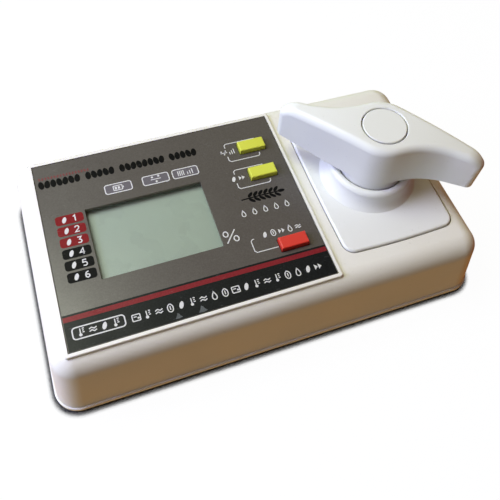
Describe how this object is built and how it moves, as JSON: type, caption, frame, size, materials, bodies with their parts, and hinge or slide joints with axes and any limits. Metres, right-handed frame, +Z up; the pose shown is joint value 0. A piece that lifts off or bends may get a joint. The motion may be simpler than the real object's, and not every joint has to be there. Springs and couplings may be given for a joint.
{
  "type": "grain moisture meter",
  "caption": "Handheld grain moisture meter: case with display, three push buttons, screw press turned by a two-winged handle, and a pull-out sample tray.",
  "frame": {"origin": "middle of the footprint, on the surface that the feet stand on", "axes": "+X along the long side towards the press, +Y towards the back, +Z up"},
  "size_m": [0.191, 0.109, 0.067],
  "materials": {
    "case_plastic": "satin, lightly textured off-white ABS",
    "handle_plastic": "smooth off-white ABS",
    "panel_print": "screen-printed dark grey sheet, satin",
    "clear_window": "clear acrylic",
    "lcd_glass": "grey-green reflective liquid crystal cell",
    "black_plastic": "moulded black",
    "yellow_plastic": "smooth lemon yellow",
    "red_plastic": "smooth red",
    "board": "green solder mask",
    "component_black": "moulded epoxy",
    "strip_rubber": "layered conductive elastomer",
    "rubber": "soft black rubber",
    "steel": "turned and ground steel",
    "plated_steel": "zinc or nickel plated",
    "cast_alloy": "as-cast aluminium alloy",
    "brass": "turned brass",
    "insulator": "brown phenolic insulator",
    "tray_plastic": "off-white ABS",
    "cell_wrap": "printed sleeve on a dry cell",
    "wire_red": "PVC insulation",
    "wire_black": "PVC insulation"
  },
  "bodies": {
    "case": {"upper_case": "case_plastic", "lower_case": "case_plastic", "rubber_feet": "rubber", "case_screws": "plated_steel", "panel_plate": "panel_print", "display_window": "clear_window", "lcd_glass": "lcd_glass", "lcd_frame": "black_plastic", "lcd_contact_strips": "strip_rubber", "main_board": "board", "processor_chip": "component_black", "amplifier_chip": "component_black", "board_capacitors": "component_black", "board_crystal": "plated_steel", "wire_connector": "tray_plastic", "board_screws": "plated_steel", "battery_box": "black_plastic", "battery_contacts_front": "plated_steel", "battery_contacts_back": "plated_steel", "battery_wire_red": "wire_red", "battery_wire_black": "wire_black", "press_frame": "cast_alloy", "press_screws": "plated_steel", "press_cover": "handle_plastic", "cover_screws": "plated_steel", "spindle_nut": "brass", "guide_rod_front": "steel", "guide_rod_back": "steel", "lower_insulator": "insulator", "lower_electrode": "steel", "electrode_terminal": "brass", "electrode_wire": "wire_red", "temperature_sensor": "steel", "tray_guide_front": "black_plastic", "tray_guide_back": "black_plastic", "average_switch": "component_black", "select_switch": "component_black", "measure_switch": "component_black", "battery_cell_1": "cell_wrap", "battery_cell_2": "cell_wrap", "battery_cell_3": "cell_wrap", "battery_cell_4": "cell_wrap"},
    "press_slide": {"upper_electrode": "steel", "plunger_block": "insulator", "plunger_cap": "steel", "plunger_screws": "plated_steel"},
    "press_handle": {"spindle": "steel", "spindle_clip": "plated_steel", "handle": "handle_plastic", "handle_cap": "handle_plastic", "handle_screw": "plated_steel"},
    "tray": {"sample_tray": "tray_plastic", "sample_dish": "steel"},
    "door": {"battery_door": "case_plastic"},
    "average_key": {"average_button": "yellow_plastic", "average_switch_stem": "tray_plastic"},
    "select_key": {"select_button": "yellow_plastic", "select_switch_stem": "tray_plastic"},
    "measure_key": {"measure_button": "red_plastic", "measure_switch_stem": "tray_plastic"}
  },
  "joints": [
    {"name": "press_lift", "type": "slide", "parent": "case", "child": "press_slide", "axis": [0, 0, 1], "range_m": [-0.002, 0.0045]},
    {"name": "handle_turn", "type": "hinge", "parent": "press_slide", "child": "press_handle", "pos_m": [0.05715, -0.00073, 0.04], "axis": [0, 0, 1], "range_deg": [-240.6, 540.9]},
    {"name": "tray_pull", "type": "slide", "parent": "case", "child": "tray", "axis": [1, 0, 0], "range_m": [0, 0.05]},
    {"name": "door_slide", "type": "slide", "parent": "case", "child": "door", "axis": [0, 1, 0], "range_m": [0, 0.06]},
    {"name": "average_press", "type": "slide", "parent": "case", "child": "average_key", "axis": [0, 0, -1], "range_m": [0, 0.0012], "stiffness_N_per_m": 1200, "springref_m": -0.0003},
    {"name": "select_press", "type": "slide", "parent": "case", "child": "select_key", "axis": [0, 0, -1], "range_m": [0, 0.0012], "stiffness_N_per_m": 1200, "springref_m": -0.0003},
    {"name": "measure_press", "type": "slide", "parent": "case", "child": "measure_key", "axis": [0, 0, -1], "range_m": [0, 0.0012], "stiffness_N_per_m": 1200, "springref_m": -0.0003}
  ],
  "couplings": [
    {"joint": "handle_turn", "follows": "press_lift", "rad_per_m": 2094.4}
  ]
}
